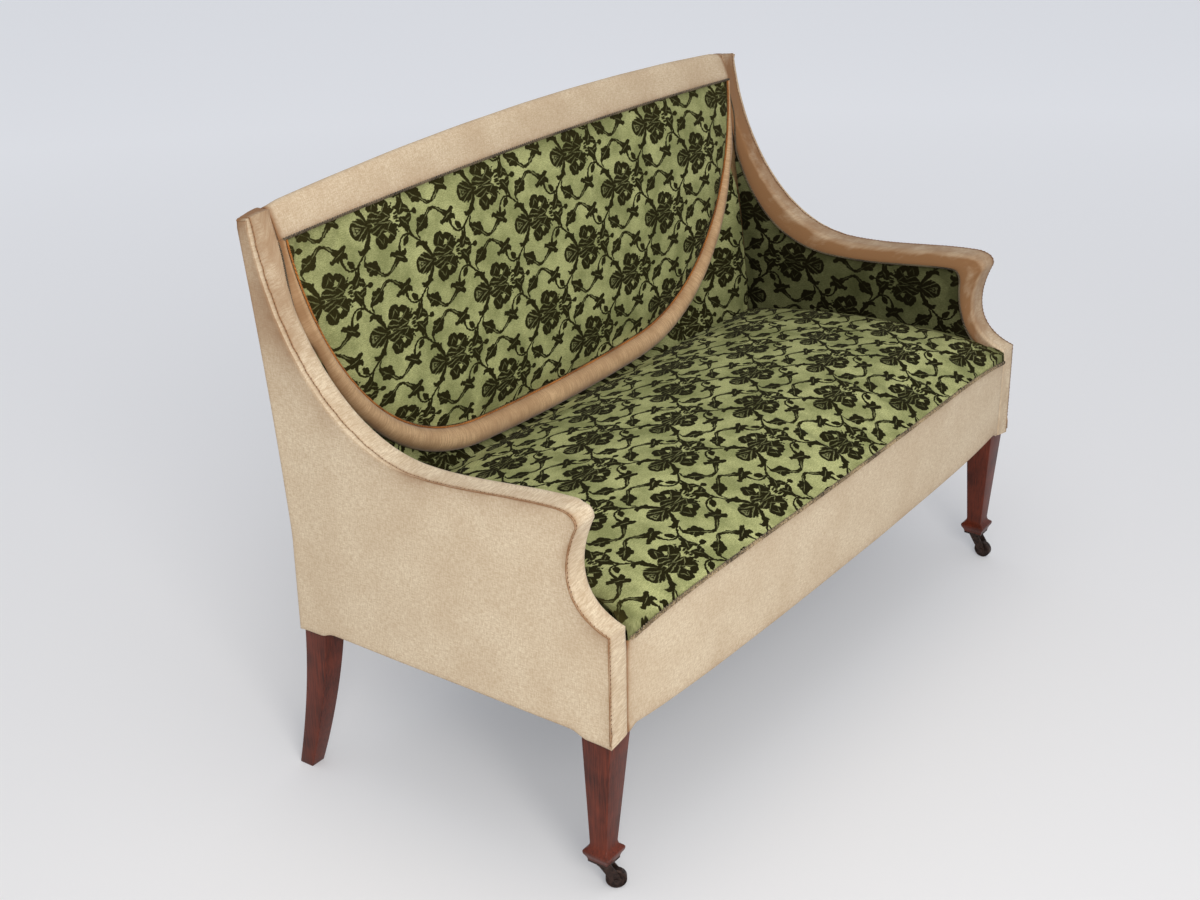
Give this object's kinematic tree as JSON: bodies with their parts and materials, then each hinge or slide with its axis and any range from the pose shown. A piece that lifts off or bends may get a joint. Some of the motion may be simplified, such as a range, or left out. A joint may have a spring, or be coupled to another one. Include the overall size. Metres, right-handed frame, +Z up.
{
  "type": "two-seater sofa",
  "caption": "Small upholstered sofa with swept arms, a D-shaped padded back panel, a domed sprung seat, square tapered front legs on casters and sabre rear legs.",
  "frame": {"origin": "on the floor under the centre of the sofa's box", "axes": "+X to the arm on the right as seen from the front, -Y to the front of the seat, +Z up"},
  "size_m": [1.334, 0.6796, 0.959],
  "materials": {
    "beech": "planed, unfinished",
    "mahogany": "stained and satin polished",
    "steel_screws": "plain",
    "spring_wire": "coppered wire",
    "jute_webbing": "woven",
    "hessian": "woven",
    "hair_stuffing": "loose fibre",
    "black_cloth": "woven",
    "green_cut_velvet": "cut velvet with a dark floral pile",
    "orange_cord": "twisted cord",
    "brown_gimp": "twisted gimp",
    "tan_velvet": "mohair velvet, nap laid down",
    "caster_iron": "aged bronze finish",
    "beige_velvet": "mohair velvet"
  },
  "bodies": {
    "sofa": {"front_seat_rail": "beech", "back_seat_rail": "beech", "side_rail_left": "beech", "side_rail_right": "beech", "corner_blocks": "beech", "block_screws": "steel_screws", "front_post_left": "beech", "front_post_right": "beech", "back_post_left": "beech", "back_post_right": "beech", "top_rail": "beech", "lower_back_rail": "beech", "arm_rail_left": "beech", "arm_rail_right": "beech", "front_leg_left": "mahogany", "front_leg_right": "mahogany", "rear_leg_left": "mahogany", "rear_leg_right": "mahogany", "leg_dowels": "beech", "seat_webbing": "jute_webbing", "seat_springs": "spring_wire", "spring_canvas": "hessian", "seat_stuffing": "hair_stuffing", "seat_front_edge": "hessian", "seat_cover": "green_cut_velvet", "seat_gimp": "brown_gimp", "front_border": "beige_velvet", "dust_cover": "black_cloth", "back_webbing": "jute_webbing", "back_stuffing": "hair_stuffing", "back_panel_cover": "green_cut_velvet", "panel_cord": "orange_cord", "back_roll": "tan_velvet", "panel_gimp": "brown_gimp", "top_border": "beige_velvet", "lower_back_pad": "hair_stuffing", "lower_back_cover": "green_cut_velvet", "outer_back_cover": "beige_velvet", "outer_side_cover_left": "beige_velvet", "outer_side_cover_right": "beige_velvet", "arm_pad_left": "hair_stuffing", "arm_pad_right": "hair_stuffing", "inner_arm_cover_left": "green_cut_velvet", "inner_arm_cover_right": "green_cut_velvet", "arm_band_left": "beige_velvet", "arm_band_right": "beige_velvet", "arm_gimp_left": "brown_gimp", "arm_gimp_right": "brown_gimp", "caster_plate_left": "caster_iron", "caster_plate_right": "caster_iron", "plate_screws": "steel_screws"},
    "caster_left": {"caster_horn_left": "caster_iron", "caster_axle_left": "caster_iron"},
    "wheel_left": {"caster_wheel_left": "caster_iron"},
    "caster_right": {"caster_horn_right": "caster_iron", "caster_axle_right": "caster_iron"},
    "wheel_right": {"caster_wheel_right": "caster_iron"}
  },
  "joints": [
    {"name": "caster_left_swivel", "type": "hinge", "parent": "sofa", "child": "caster_left", "pos_m": [-0.64, -0.2875, 0.047], "axis": [0, 0, 1], "continuous": true},
    {"name": "wheel_left_spin", "type": "hinge", "parent": "caster_left", "child": "wheel_left", "pos_m": [-0.62942, -0.30206, 0.016], "axis": [0.809, 0.5878, 0], "continuous": true},
    {"name": "caster_right_swivel", "type": "hinge", "parent": "sofa", "child": "caster_right", "pos_m": [0.64, -0.2875, 0.047], "axis": [0, 0, 1], "continuous": true},
    {"name": "wheel_right_spin", "type": "hinge", "parent": "caster_right", "child": "wheel_right", "pos_m": [0.64, -0.3055, 0.016], "axis": [1, 0, 0], "continuous": true}
  ]
}
